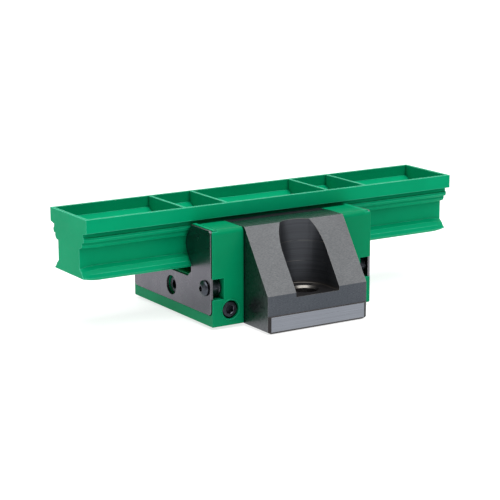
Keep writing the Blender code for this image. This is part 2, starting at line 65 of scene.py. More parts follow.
SADDLE_HIGH = box_mm("saddle_plate")[1]
END_LOW, END_HIGH = box_mm("end_piece_right")
PLATE_LOW, PLATE_HIGH = box_mm("end_plate_right")
WIPER_LOW, WIPER_HIGH = box_mm("end_wiper_right")
RAIL_LOW, RAIL_HIGH = box_mm("dummy_rail")
BUTTON_LOW, BUTTON_HIGH = box_mm("plate_screw_right_far")
COLLAR_LOW, COLLAR_HIGH = box_mm("collar_screw_right_far")
SIDE_PLUG_LOW, SIDE_PLUG_HIGH = box_mm("side_port_plug_right_far")
FRONT_PLUG_LOW, FRONT_PLUG_HIGH = box_mm("front_port_plug_right")
SEAL_LOW, SEAL_HIGH = box_mm("leg_seal_far")

GAP = 0.3
REACH = SADDLE_HIGH.x
LEG_TOP = SADDLE_HIGH.z
HALF_FLANGE = SADDLE_HIGH.y
LEG_OUTER = 29.2
FLANGE_HEIGHT = 13.7
STRIP_HEIGHT = 6.2
STRIP_STEP = 0.45
EDGE_CHAMFER = 0.85
SCREW_Y = 36.0
SCREW_HOLE_RADIUS = 4.5
SCREW_POCKET_RADIUS = 9.25
SCREW_POCKET_FLOOR = 12.15
HOLE_CHAMFER = 0.8
MOUTH_CHAMFER = 1.0  # of the fixing holes, at the mounting face
LEDGE_RISE = 0.3  # of the flange's ledge above the strip

RACEWAY_RADIUS = 2.7
LOW_ROW, LOW_RETURN = Vector((15.0, 16.3)), Vector((21.3, 8.4))
HIGH_ROW, HIGH_RETURN = Vector((14.9, 26.4)), Vector((22.1, 27.5))
ROWS = {"low": (LOW_ROW, LOW_RETURN), "high": (HIGH_ROW, HIGH_RETURN)}
BALL_RADIUS = 2.38
BALL_PITCH = 5.0
CHANNEL_FLOOR = 13.0
RETURN_BORE = 3.5
TURN_RADIUS = 2.75
TURN_GUIDE_HALF_WIDTH = 2.1

HALF_PLATE = PLATE_HIGH.y
COLLAR = Vector((24.0, 14.5))  # axis of the collar and plate screws
COLLAR_FLANGE_RADIUS = (COLLAR_HIGH.y - COLLAR_LOW.y) / 2
COLLAR_FLANGE = 0.8
COLLAR_HEXAGON = 5.8
COLLAR_THREAD_DEPTH = 9.0
PORT_Z = (FRONT_PLUG_LOW.z + FRONT_PLUG_HIGH.z) / 2
PORT_RADIUS = (FRONT_PLUG_HIGH.y - FRONT_PLUG_LOW.y) / 2
PORT_BOTTOM_X = 26.0
PLATE_PORT_RADIUS = 3.6
WIPER_PORT_RADIUS = 4.0
SIDE_PORT = ((SIDE_PLUG_LOW.x + SIDE_PLUG_HIGH.x) / 2, (SIDE_PLUG_LOW.z + SIDE_PLUG_HIGH.z) / 2)
SIDE_PORT_BOTTOM_Y = 25.2
PORT_RIM_RADIUS = PORT_RADIUS + 0.62
PORT_RIM = 0.22
PLUG_SOCKET = 3.0
PLUG_SOCKET_DEPTH = 1.8
NOTCH_START, NOTCH_LOW, NOTCH_HIGH, NOTCH_INNER_Y = 29.6, 10.75, 18.5, 20.4
THREAD_HOLE = 1.8
THREAD_RADIUS = 1.5
BUTTON_RADIUS = (BUTTON_HIGH.y - BUTTON_LOW.y) / 2
BUTTON_HEIGHT = 1.65
BUTTON_SHANK = 3.2
BUTTON_SOCKET = 2.0

# The end pieces and wipers nearly close the gaps that the CAD keeps between neighbours
END_TO_STEEL = 0.06
WIPER_GROWTH = 0.24

RAIL_CENTRE = (RAIL_LOW.x + RAIL_HIGH.x) / 2
RAIL_TAPER = 6.0
RAIL_WALL = 1.2
RIB_THICKNESS = 1.0
RIB_PLACES = (-39.5, -22.0, 22.0, 39.5)
TRAY_HALF_WIDTH = 12.8
TRAY_WALL_FOOT = 38.0
SHELF_INNER = (7.4, 34.9)
CAVITY_FLOOR = (7.0, 21.2)
RAIL_SECTION = (
    (11.2, 19.6), (12.2, 20.6), (12.2, 22.1), (10.9, 23.5), (9.4, 23.95), (8.6, 24.4),
    (8.6, 30.9), (9.9, 31.0), (10.45, 31.4), (11.0, 32.3), (11.0, 33.25),
    (12.05, 33.4), (12.45, 33.8), (12.8, 34.4), (12.6, 35.1), (12.1, 35.4),
    (11.8, 36.6), (14.0, 37.05), (14.0, RAIL_HIGH.z),
)
RAIL_END_SECTION = (
    (11.1, 20.35), (11.3, 20.6), (10.4, 21.3), (9.75, 22.35), (9.0, 23.0), (8.2, 23.6),
    (8.2, 31.0), (9.2, 31.1), (10.0, 31.5), (10.5, 32.3), (10.5, 33.25),
    (11.3, 33.4), (11.7, 33.8), (11.9, 34.5), (11.7, 35.1), (11.3, 35.4),
    (11.2, 36.4), (14.0, 37.05), (14.0, RAIL_HIGH.z),
)
END_OPENING = (
    (12.2, 15.9), (14.9, 18.2), (14.9, 21.7), (13.9, 23.1), (11.9, 26.3), (11.0, 28.5),
    (11.7, 30.9), (13.6, 33.1), (16.0, 33.6), (16.0, END_HIGH.z),
)
PLATE_OPENING = (
    (11.9, 16.6), (14.5, 18.7), (14.5, 21.4), (13.5, 22.7), (11.4, 26.0), (10.5, 28.4),
    (11.2, 31.1), (13.35, 33.7), (14.4, 35.4), (14.4, PLATE_HIGH.z),
)

CUTTER_PAUSES = (28.0, 20.5)  # heights of the bright rings in the screw pockets
NO_LENGTH = 0.0005  # shorter edges are merged away

# In metres. Faces wider than this in both directions are shaded flat
WIDE_FACE = 1.2 * MM

# Camera: direction from the object in degrees, distance and framing in metres, lens in millimetres
CAMERA_AZIMUTH, CAMERA_ELEVATION, CAMERA_ROLL = -32.17, 12.9, -0.12
CAMERA_DISTANCE = 0.66067
CAMERA_TARGET = Vector((0.0, 0.0, 0.022))
CAMERA_SIDE, CAMERA_RISE = -0.00044, -0.00244
CAMERA_LENS = 126.7

# Light: the sky's strength is its base plus the slope times the direction, and never less than the least
FLOOR_GLOW = 0.75
SKY_BASE, SKY_LEAST = 0.38, 0.06
SKY_SLOPE = (0.04, 0.42, 0.45)
SUN_STRENGTH, SUN_ANGLE, SUN_FROM = 2.9, 60.0, (0.0, -0.3, 1.0)

OUTLINE_AXES = {
    "X": Matrix(((0, 0, 1), (1, 0, 0), (0, 1, 0))).to_4x4(),
    "Y": Matrix(((1, 0, 0), (0, 0, -1), (0, 1, 0))).to_4x4(),
    "Z": Matrix.Identity(4),
}


# ---- Node helpers ----


class Shading:
    """A material with a Principled shader, and short calls for the nodes that feed it."""

    def __init__(self, name, roughness, metallic, specular=0.5):
        self.material = bpy.data.materials.new(name)
        self.material.use_nodes = True
        self.tree = self.material.node_tree
        self.shader = self.tree.nodes["Principled BSDF"]
        self.shader.inputs["Roughness"].default_value = roughness
        self.shader.inputs["Metallic"].default_value = metallic
        self.shader.inputs["Specular IOR Level"].default_value = specular
        self.place = self.node("ShaderNodeTexCoord").outputs["Object"]

    def node(self, kind, **settings):
        made = self.tree.nodes.new(kind)
        for key, value in settings.items():
            setattr(made, key, value)
        return made

    def set(self, socket, value):
        """Give a socket a value, or link another socket to it."""
        if isinstance(value, bpy.types.NodeSocket):
            self.tree.links.new(value, socket)
        else:
            socket.default_value = value

    def stretched(self, scale, turn=(0, 0, 0)):
        mapping = self.node("ShaderNodeMapping")
        self.set(mapping.inputs["Vector"], self.place)
        self.set(mapping.inputs["Scale"], scale)
        self.set(mapping.inputs["Rotation"], [math.radians(angle) for angle in turn])
        return mapping.outputs["Vector"]

    def noise(self, scale, detail=2.0, rough=0.5, vector=None):
        texture = self.node("ShaderNodeTexNoise")
        self.set(texture.inputs["Vector"], self.place if vector is None else vector)
        self.set(texture.inputs["Scale"], scale)
        self.set(texture.inputs["Detail"], detail)
        self.set(texture.inputs["Roughness"], rough)
        return texture.outputs["Fac"]

    def remap(self, value, low, high, to_low=0.0, to_high=1.0):
        ranged = self.node("ShaderNodeMapRange", clamp=True)
        for socket, number in zip(ranged.inputs, (value, low, high, to_low, to_high)):
            self.set(socket, number)
        return ranged.outputs["Result"]

    def math(self, operation, first, second=0.0):
        made = self.node("ShaderNodeMath", operation=operation)
        self.set(made.inputs[0], first)
        self.set(made.inputs[1], second)
        return made.outputs[0]

    def mix(self, factor, first, second):
        made = self.node("ShaderNodeMix", data_type="RGBA")
        self.set(made.inputs["Factor"], factor)
        self.set(made.inputs["A"], (*first, 1.0) if isinstance(first, tuple) else first)
        self.set(made.inputs["B"], (*second, 1.0) if isinstance(second, tuple) else second)
        return made.outputs["Result"]

    def openness(self, reach):
        """1 on open faces and outer edges, falling to 0 in creases narrower than the reach."""
        shade = self.node("ShaderNodeAmbientOcclusion", samples=6)
        self.set(shade.inputs["Distance"], reach)
        return shade.outputs["AO"]

    def edges(self, radius):
        """1 along sharp edges, 0 on open faces."""
        rounded = self.node("ShaderNodeBevel", samples=4)
        self.set(rounded.inputs["Radius"], radius)
        flat = self.node("ShaderNodeNewGeometry")
        facing = self.node("ShaderNodeVectorMath", operation="DOT_PRODUCT")
        self.set(facing.inputs[0], rounded.outputs["Normal"])
        self.set(facing.inputs[1], flat.outputs["Normal"])
        return self.remap(facing.outputs["Value"], 0.97, 0.78)

    def height(self):
        """Height of the shaded point in metres."""
        split = self.node("ShaderNodeSeparateXYZ")
        self.set(split.inputs[0], self.place)
        return split.outputs["Z"]

    def upward(self):
        """1 on faces that look up, 0 on upright ones and undersides."""
        split = self.node("ShaderNodeSeparateXYZ")
        self.set(split.inputs[0], self.node("ShaderNodeNewGeometry").outputs["Normal"])
        return self.remap(split.outputs["Z"], 0.35, 0.9)

    def colour(self, socket):
        self.set(self.shader.inputs["Base Color"], socket)

    def roughness(self, socket):
        self.set(self.shader.inputs["Roughness"], socket)

    def bump(self, height, distance, strength=1.0, under=None):
        bumped = self.node("ShaderNodeBump")
        self.set(bumped.inputs["Height"], height)
        self.set(bumped.inputs["Distance"], distance)
        self.set(bumped.inputs["Strength"], strength)
        if under is not None:
            self.set(bumped.inputs["Normal"], under)
        self.set(self.shader.inputs["Normal"], bumped.outputs["Normal"])
        return bumped.outputs["Normal"]


# ---- Materials ----


def moulded_plastic(name, deep, main, pale, roughness, specular):
    """Moulded plastic: faint flow marks along X, painted shade in creases, satin skin and painted highlights
    on outer edges.
    """
    look = Shading(name, roughness, 0.0, specular)
    clouds = look.noise(45.0, 3.0)
    flow = look.noise(1.0, 4.0, 0.6, look.stretched((25.0, 260.0, 260.0)))
    tone = look.mix(look.remap(clouds, 0.3, 0.7), deep, main)
    tone = look.mix(look.remap(flow, 0.5, 0.75, 0.0, 0.35), tone, deep)
    scratch = look.noise(1.0, 1.0, 0.5, look.stretched((60.0, 2600.0, 2600.0), (8, 14, 5)))
    soft = tuple(0.6 * a + 0.4 * b for a, b in zip(main, pale))
    tone = look.mix(look.remap(scratch, 0.76, 0.82, 0.0, 0.25), tone, soft)
    # Painted shade: the colour darkens where ambient occlusion finds narrow creases.
    openness = look.openness(0.0016)
    shadow = tuple(channel * 0.3 for channel in deep)
    tone = look.mix(look.remap(openness, 0.8, 0.3, 0.0, 0.85), tone, shadow)
    # Painted highlight: outer edges are lightened, fully to the pale colour where they face up.
    rim_highlight = look.math("MULTIPLY", look.edges(0.0004), look.remap(openness, 0.7, 0.95))
    tone = look.mix(look.math("MULTIPLY", rim_highlight, 0.8), tone, soft)
    tone = look.mix(look.math("MULTIPLY", rim_highlight, look.upward()), tone, pale)
    look.colour(tone)
    skin = look.noise(420.0, 4.0, 0.6)
    look.roughness(look.remap(skin, 0.3, 0.7, roughness - 0.06, roughness + 0.08))
    grain = look.bump(look.noise(3800.0, 2.0), 0.00001, 0.3)
    look.bump(look.noise(60.0, 1.0), 0.00002, 0.1, grain)
    return look.material


def blasted_steel(name, dark, light, roughness, edge):
    """Milled and fine blasted steel with a close grain drawn out a little along X."""
    look = Shading(name, roughness, 1.0)
    grain = look.noise(1.0, 4.0, 0.7, look.stretched((1200.0, 4600.0, 4600.0)))
    clouds = look.noise(70.0, 4.0, 0.6)
    tone = look.mix(look.remap(grain, 0.32, 0.68), dark, light)
    tone = look.mix(look.remap(clouds, 0.35, 0.75, 0.0, 0.35), tone, dark)
    # Painted highlight: lighter along sharp edges.
    tone = look.mix(look.math("MULTIPLY", look.edges(0.00025), 0.6), tone, edge)
    look.colour(tone)
    look.roughness(look.remap(grain, 0.3, 0.7, roughness - 0.05, roughness + 0.1))
    look.bump(grain, 0.00002, 0.35)
    return look.material


def ground_steel(name, dark, light, roughness, edge, stretch):
    """Ground steel: fine parallel lines in the direction that stretch leaves short."""
    look = Shading(name, roughness, 1.0)
    lines = look.noise(1.0, 5.0, 0.7, look.stretched(stretch))
    clouds = look.noise(90.0, 3.0)
    tone = look.mix(look.remap(lines, 0.3, 0.7), dark, light)
    tone = look.mix(look.remap(clouds, 0.4, 0.8, 0.0, 0.25), tone, dark)
    # Painted highlight: lighter along sharp edges.
    tone = look.mix(look.math("MULTIPLY", look.edges(0.0003), 0.7), tone, edge)
    look.colour(tone)
    look.roughness(look.remap(lines, 0.3, 0.7, roughness - 0.05, roughness + 0.06))
    look.bump(lines, 0.000006, 0.4)
    return look.material


def turned_steel(name, dark, light, roughness, scratch, straw):
    """Counterbored steel: rings left by the cutter, bright rings where it paused, a straw coloured floor."""
    look = Shading(name, roughness, 0.8)
    rings = look.noise(1.0, 5.0, 0.75, look.stretched((4.0, 4.0, 1500.0)))
    bands = look.noise(1.0, 2.0, 0.5, look.stretched((12.0, 12.0, 190.0)))
    tone = look.mix(look.remap(rings, 0.3, 0.7), dark, light)
    tone = look.mix(look.remap(bands, 0.55, 0.75, 0.0, 0.4), tone, dark)
    height = look.height()
    floor = SCREW_POCKET_FLOOR * MM
    foot = look.remap(height, floor + 1.2 * MM, floor + 0.2 * MM, 0.0, 0.8)
    tone = look.mix(foot, tone, straw)
    broken = look.noise(130.0, 2.0)
    for pause in CUTTER_PAUSES:
        away = look.math("ABSOLUTE", look.math("SUBTRACT", height, pause * MM))
        ring = look.math("MULTIPLY", look.remap(away, 0.00013, 0.00004), look.remap(broken, 0.42, 0.62))
        tone = look.mix(look.math("MULTIPLY", ring, 0.35), tone, scratch)
    # Painted highlight: lighter along sharp edges, in the colour of the bright rings.
    tone = look.mix(look.math("MULTIPLY", look.edges(0.0003), 0.8), tone, scratch)
    look.colour(tone)
    look.roughness(look.remap(rings, 0.3, 0.7, roughness - 0.06, roughness + 0.08))
    fine = look.bump(rings, 0.000012, 0.5)
    look.bump(bands, 0.00005, 0.3, fine)
    return look.material


def sheet_steel(name, dark, light, roughness, edge):
    """Cold rolled sheet: very soft oblique streaks, a few specks and scuffs, and a painted highlight along
    its edges.
    """
    look = Shading(name, roughness, 1.0)
    streaks = look.noise(1.0, 3.0, 0.5, look.stretched((1.0, 260.0, 40.0), (32, 0, 0)))
    clouds = look.noise(70.0, 4.0, 0.6)
    grain = look.noise(1700.0, 3.0, 0.6)
    tone = look.mix(look.remap(clouds, 0.3, 0.7), dark, light)
    tone = look.mix(look.remap(streaks, 0.4, 0.75, 0.0, 0.2), tone, dark)
    tone = look.mix(look.remap(grain, 0.62, 0.75, 0.0, 0.35), tone, edge)
    scuffs = look.noise(1.0, 2.0, 0.5, look.stretched((1.0, 900.0, 60.0), (55, 0, 0)))
    tone = look.mix(look.remap(scuffs, 0.66, 0.74, 0.0, 0.3), tone, edge)
    # Painted highlight: lighter along sharp edges.
    tone = look.mix(look.edges(0.00025), tone, edge)
    look.colour(tone)
    look.roughness(look.remap(clouds, 0.3, 0.7, roughness - 0.03, roughness + 0.04))
    look.bump(grain, 0.000004, 0.25)
    return look.material


def black_oxide(name):
    """Blackened screw steel, its edges painted lighter as a highlight."""
    look = Shading(name, 0.34, 1.0)
    patches = look.noise(900.0, 4.0, 0.6)
    tone = look.mix(look.remap(patches, 0.35, 0.7), (0.045, 0.049, 0.058), (0.078, 0.085, 0.104))
    # Painted highlight: lighter along sharp edges.
    tone = look.mix(look.math("MULTIPLY", look.edges(0.00018), 0.8), tone, (0.25, 0.26, 0.3))
    look.colour(tone)
    look.roughness(look.remap(patches, 0.3, 0.7, 0.27, 0.42))
    look.bump(look.noise(4500.0, 2.0), 0.000005, 0.4)
    return look.material


def elastomer(name, dark, light, roughness):
    """Seal rubber with a dusty bloom."""
    look = Shading(name, roughness, 0.0, 0.12)
    bloom = look.noise(320.0, 5.0, 0.65)
    look.colour(look.mix(look.remap(bloom, 0.35, 0.7), dark, light))
    look.roughness(look.remap(bloom, 0.3, 0.7, roughness - 0.08, roughness + 0.1))
    look.bump(look.noise(2400.0, 3.0), 0.000012, 0.5)
    return look.material


def natural_plastic(name):
    """Unpigmented moulded plastic of the hidden ball guides."""
    look = Shading(name, 0.45, 0.0, 0.45)
    look.shader.inputs["Subsurface Weight"].default_value = 0.15
    look.shader.inputs["Subsurface Scale"].default_value = 0.001
    clouds = look.noise(160.0, 4.0, 0.6)
    look.colour(look.mix(look.remap(clouds, 0.3, 0.7), (0.62, 0.61, 0.55), (0.74, 0.73, 0.68)))
    look.roughness(look.remap(look.noise(700.0, 3.0), 0.3, 0.7, 0.38, 0.52))
    look.bump(look.noise(2800.0, 2.0), 0.00001, 0.4)
    return look.material


def bearing_steel(name):
    """Polished balls with the faintest haze."""
    look = Shading(name, 0.1, 1.0)
    haze = look.noise(1300.0, 3.0)
    look.colour(look.mix(look.remap(haze, 0.3, 0.7), (0.52, 0.52, 0.54), (0.62, 0.62, 0.64)))
    look.roughness(look.remap(haze, 0.3, 0.7, 0.06, 0.16))
    return look.material


# ---- Modelling helpers, in millimetres ----


def link(name, data):
    obj = bpy.data.objects.new(name, data)
    bpy.context.scene.collection.objects.link(obj)
    return obj


def mesh_of(bm, name):
    """A mesh whose faces all point outwards."""
    bmesh.ops.recalc_face_normals(bm, faces=bm.faces)
    if bm.calc_volume(signed=True) < 0:
        bmesh.ops.reverse_faces(bm, faces=bm.faces)
    mesh = bpy.data.meshes.new(name)
    bm.to_mesh(mesh)
    bm.free()
    return mesh


def evaluated_mesh(obj):
    depsgraph = bpy.context.evaluated_depsgraph_get()
    return bpy.data.meshes.new_from_object(obj.evaluated_get(depsgraph))


def remove(obj):
    bpy.data.objects.remove(obj, do_unlink=True)


def fillet(points, radii, steps=6):
    """The outline with an arc in place of each corner whose index has a radius."""
    rounded = []
    for index, corner in enumerate(points):
        if index not in radii:
            rounded.append(tuple(corner))
            continue
        corner = Vector(corner)
        before = (Vector(points[index - 1]) - corner).normalized()
        after = (Vector(points[(index + 1) % len(points)]) - corner).normalized()
        half_angle = before.angle(after) / 2
        centre = corner + (before + after).normalized() * radii[index] / math.sin(half_angle)
        start = corner + before * radii[index] / math.tan(half_angle) - centre
        end = corner + after * radii[index] / math.tan(half_angle) - centre
        sweep = start.angle_signed(end)
        for step in range(steps + 1):
            turn = Matrix.Rotation(-sweep * step / steps, 2)
            rounded.append(tuple(centre + turn @ start))
    return rounded


def arc(centre, radius, start, end, steps):
    """Points along an arc between two angles in degrees."""
    angles = [math.radians(start + (end - start) * step / steps) for step in range(steps + 1)]
    return [(centre[0] + radius * math.cos(a), centre[1] + radius * math.sin(a)) for a in angles]


def both_halves(right):
    """The right half of an outline, joined to its mirror image."""
    return list(right) + [(-u, v) for u, v in reversed(right)]


def bar(name, outline, axis, low, high):
    """A flat outline given depth along an axis."""
    bm = bmesh.new()
    verts = [bm.verts.new((u, v, low if axis != "Y" else -low)) for u, v in outline]
    face = bm.faces.new(verts)
    depth = high - low if axis != "Y" else low - high
    grown = bmesh.ops.extrude_face_region(bm, geom=[face])
    moved = [item for item in grown["geom"] if isinstance(item, bmesh.types.BMVert)]
    bmesh.ops.translate(bm, vec=(0, 0, depth), verts=moved)
    bm.transform(OUTLINE_AXES[axis])
    return link(name, mesh_of(bm, name))


def rod(name, axis, centre, radius, low, high, segments=48, top_radius=None):
    bm = bmesh.new()
    bmesh.ops.create_cone(
        bm, cap_ends=True, segments=segments, depth=high - low, radius1=radius,
        radius2=radius if top_radius is None else top_radius,
    )
    middle = (low + high) / 2
    if axis == "X":
        place = Matrix.Translation((middle, *centre)) @ Matrix.Rotation(math.pi / 2, 4, "Y")
    elif axis == "Y":
        place = Matrix.Translation((centre[0], middle, centre[1])) @ Matrix.Rotation(-math.pi / 2, 4, "X")
    else:
        place = Matrix.Translation((*centre, middle))
    bm.transform(place)
    return link(name, mesh_of(bm, name))


def block(name, low, high):
    bm = bmesh.new()
    bmesh.ops.create_cube(bm, size=1.0)
    bmesh.ops.scale(bm, vec=Vector(high) - Vector(low), verts=bm.verts)
    bmesh.ops.translate(bm, vec=(Vector(high) + Vector(low)) / 2, verts=bm.verts)
    return link(name, mesh_of(bm, name))


def turned(name, profile, segments, place):
    """A profile of (radius, height) pairs from the axis out and back to it, turned about its axis."""
    bm = bmesh.new()
    verts = [bm.verts.new((r, 0, h)) for r, h in profile]
    edges = [bm.edges.new(pair) for pair in zip(verts, verts[1:])]
    bmesh.ops.spin(
        bm, geom=verts + edges, axis=(0, 0, 1), cent=(0, 0, 0), angle=2 * math.pi, steps=segments,
        use_merge=True,
    )
    bmesh.ops.remove_doubles(bm, verts=bm.verts, dist=1e-4)
    bm.transform(place)
    return link(name, mesh_of(bm, name))


def boolean(target, tool, operation="DIFFERENCE"):
    modifier = target.modifiers.new("Boolean", "BOOLEAN")
    modifier.operation = operation
    modifier.solver = "EXACT"
    modifier.object = tool
    mesh = evaluated_mesh(target)
    target.modifiers.clear()
    target.data = mesh
    remove(tool)


def bevel(obj, width, segments=2, angle=30):
    """Round the edges sharper than an angle, and bake the result."""
    modifier = obj.modifiers.new("Bevel", "BEVEL")
    modifier.width = width
    modifier.segments = segments
    modifier.limit_method = "ANGLE"
    modifier.angle_limit = math.radians(angle)
    modifier.use_clamp_overlap = True
    mesh = evaluated_mesh(obj)
    obj.modifiers.clear()
    obj.data = mesh


def tidy(obj, flat_angle=0.5):
    """Join the coplanar faces that Booleans leave split."""
    bm = bmesh.new()
    bm.from_mesh(obj.data)
    bmesh.ops.remove_doubles(bm, verts=bm.verts, dist=0.002)
    bmesh.ops.dissolve_limit(
        bm, angle_limit=math.radians(flat_angle), verts=bm.verts, edges=bm.edges, delimit={"NORMAL"}
    )
    bm.to_mesh(obj.data)
    bm.free()


def smooth(mesh, angle):
    """Shade smooth across shallow edges, but leave the wide faces truly flat."""
    mesh.shade_smooth()
    mesh.set_sharp_from_angle(angle=math.radians(angle))
    for face in mesh.polygons:
        corners = [mesh.vertices[index].co for index in face.vertices]
        longest = max((b - a).length for a, b in zip(corners, corners[1:] + corners[:1]))
        if face.area > WIDE_FACE * longest:
            face.use_smooth = False


def mirrored(obj, name, axis):
    """A copy mirrored across the middle of the frame, with the same materials."""
    flip = Matrix.Scale(-1, 4, Vector((1, 0, 0)) if axis == "X" else Vector((0, 1, 0)))
    bm = bmesh.new()
    bm.from_mesh(obj.data)
    bm.transform(flip)
    bmesh.ops.reverse_faces(bm, faces=bm.faces)
    mesh = bpy.data.meshes.new(name)
    bm.to_mesh(mesh)
    bm.free()
    for material in obj.data.materials:
        mesh.materials.append(material)
    return link(name, mesh)


def dress(obj, materials, finish_of=None):
    """Give a piece its materials, face by face where there are several."""
    for material in materials:
        obj.data.materials.append(material)
    if finish_of:
        for face in obj.data.polygons:
            face.material_index = finish_of(face.center, face.normal)
    return obj


def finish_piece(obj, node, body, sharp_angle=16):
    """Clear a piece of faces without area, bring it into metres and let it stand for its CAD node."""
    bm = bmesh.new()
    bm.from_mesh(obj.data)
    bmesh.ops.dissolve_degenerate(bm, edges=bm.edges, dist=NO_LENGTH)
    bm.to_mesh(obj.data)
    bm.free()
    obj.data.transform(Matrix.Scale(MM, 4))
    smooth(obj.data, sharp_angle)
    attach(obj, body)
    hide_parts(node)
    return obj


def place_right_and_left(obj, node):
    """The right piece and its mirror on the left."""
    left = mirrored(obj, obj.name.replace("right", "left"), "X")
    finish_piece(obj, node, CARRIAGE)
    finish_piece(left, node.replace("right", "left"), CARRIAGE)


def place_far_and_near(obj, node):
    """The far piece and its mirror on the near side."""
    near = mirrored(obj, obj.name.replace("far", "near"), "Y")
    finish_piece(obj, node, CARRIAGE)
    finish_piece(near, node.replace("far", "near"), CARRIAGE)


def place_at_corners(obj, node):
    """The right far piece and its mirrors at the three other corners."""
    near = mirrored(obj, obj.name.replace("far", "near"), "Y")
    pairs = ((obj, node), (near, node.replace("far", "near")))
    for piece, its_node in pairs:
        left = mirrored(piece, piece.name.replace("right", "left"), "X")
        finish_piece(left, its_node.replace("right", "left"), CARRIAGE)
    for piece, its_node in pairs:
        finish_piece(piece, its_node, CARRIAGE)


# ---- Steel body ----

BLASTED, FLANGE_FACE, STRIP_FACE, GROUND, TURNED, END_FACE, LEG_FACE, FRESH_CUT, GROOVE_SHADE = range(9)


def saddle_section():
    """Section of the steel body, its raceways as arcs."""
    right = (
        [(12.4, CHANNEL_FLOOR), (13.1, 13.6)]
        + arc(LOW_ROW, RACEWAY_RADIUS, -125, 25, 20)
        + [(16.6, 19.3), (16.5, 23.5)]
        + arc(HIGH_ROW, RACEWAY_RADIUS, -25, 100, 18)
        + [(14.7, 30.6), (15.2, 31.8), (19.6, 32.2), (19.6, LEG_TOP)]
        + [
            (LEG_OUTER, LEG_TOP), (HALF_FLANGE - STRIP_STEP, FLANGE_HEIGHT),
            (HALF_FLANGE - STRIP_STEP, STRIP_HEIGHT + LEDGE_RISE), (HALF_FLANGE, STRIP_HEIGHT),
            (HALF_FLANGE, EDGE_CHAMFER), (HALF_FLANGE - EDGE_CHAMFER, 0),
        ]
    )
    return both_halves(right)


def screw_hole(y):
    """Cutter for one fixing hole, chamfered at the pocket's floor and at the mounting face."""
    wide = SCREW_HOLE_RADIUS + HOLE_CHAMFER
    top = SCREW_POCKET_FLOOR
    profile = [
        (0, top + 0.5), (wide + 0.5, top + 0.5), (SCREW_HOLE_RADIUS, top - HOLE_CHAMFER),
        (SCREW_HOLE_RADIUS, 0.5), (SCREW_HOLE_RADIUS + MOUTH_CHAMFER, -0.5), (0, -0.5),
    ]
    return turned("hole", profile, 72, Matrix.Translation((0, y, 0)))


def screw_pocket(side):
    """Cutter for one counterbore: round at the back, open to the front, its bottom edge rounded."""
    outline = [(-SCREW_POCKET_RADIUS, side * (HALF_FLANGE + 2))]
    outline += arc((0, side * SCREW_Y), SCREW_POCKET_RADIUS, 180, 180 + side * 180, 72)
    outline += [(SCREW_POCKET_RADIUS, side * (HALF_FLANGE + 2))]
    cutter = bar("pocket", outline, "Z", SCREW_POCKET_FLOOR, LEG_TOP + 2)
    bevel(cutter, 0.4, 3, 60)
    return cutter


def saddle(materials):
    """Steel body: section along X, ground strips, chamfered ends, screw pockets, return bores and threads."""
    body = bar("steel_body", saddle_section(), "X", -REACH, REACH)
    for side in (-1, 1):
        for end in (-1, 1):
            corner = [
                (end * (REACH - 1.3), side * (HALF_FLANGE + 0.04)),
                (end * (REACH + 0.6), side * (HALF_FLANGE + 0.04)),
                (end * (REACH + 0.6), side * (HALF_FLANGE - 0.75)),
            ]
            boolean(body, bar("strip_end", corner, "Z", -1, STRIP_HEIGHT + GAP))
        edge = [(side * (REACH - 1.5), -0.01), (side * (REACH + 1), -0.01), (side * (REACH + 1), 1.4)]
        boolean(body, bar("end_chamfer", edge, "Y", -HALF_FLANGE - 1, HALF_FLANGE + 1))
        boolean(body, screw_pocket(side))
        boolean(body, screw_hole(side * SCREW_Y))
        for row_return in (LOW_RETURN, HIGH_RETURN):
            bore = (side * row_return.x, row_return.y)
            boolean(body, rod("return_bore", "X", bore, RETURN_BORE, -REACH - 1, REACH + 1))
        for end in (-1, 1):
            low, high = sorted((end * (REACH - COLLAR_THREAD_DEPTH), end * (REACH + 1)))
            boolean(body, rod("thread", "X", (side * COLLAR.x, COLLAR.y), THREAD_HOLE, low, high, 32))
    tidy(body)
    bevel(body, 0.14, 2, 24)
    dress(body, materials, saddle_finish)
    finish_piece(body, "saddle_plate", CARRIAGE)


def saddle_finish(centre, normal):
    """Which finish a face of the steel body has, from where it is and how it faces."""
    side = abs(centre.y)
    from_screw = math.hypot(centre.x, side - SCREW_Y)
    in_pocket = side > SCREW_Y - SCREW_POCKET_RADIUS - 0.2 and abs(centre.x) < SCREW_POCKET_RADIUS + 0.05
    wall = min(abs(from_screw - SCREW_POCKET_RADIUS), abs(abs(centre.x) - SCREW_POCKET_RADIUS)) < 0.5
    if centre.z > LEG_TOP - 0.2:
        return LEG_FACE
    if from_screw < SCREW_HOLE_RADIUS + HOLE_CHAMFER + 0.1 and 0.3 < centre.z < SCREW_POCKET_FLOOR + 0.05:
        # The hole's slanted chamfer is fresh cut; its bore walls take the dark steel of painted shade.
        return FRESH_CUT if 0.3 < normal.z < 0.9 else GROOVE_SHADE
    if in_pocket and centre.z > SCREW_POCKET_FLOOR - 0.1 and (wall or normal.z > 0.9) and normal.z > -0.1:
        if not (normal.z < 0.7 and abs(normal.y) > 0.7 and side > SCREW_Y):
            return TURNED
    if abs(normal.x) > 0.6:
        return END_FACE
    if side > HALF_FLANGE - 0.2 and EDGE_CHAMFER - 0.1 < centre.z < STRIP_HEIGHT - 0.1:
        return STRIP_FACE
    # Bottom chamfer, strip ends and ledge: very dark steel as painted shade.
    if side > HALF_FLANGE - 1.5 and centre.z < STRIP_HEIGHT + 0.5:
        return GROOVE_SHADE
    if side > HALF_FLANGE - 1.0:
        return FLANGE_FACE
    if side > LEG_OUTER - 0.1 and normal.z > 0.2:
        return BLASTED
    return GROUND


# ---- Ball circuits ----


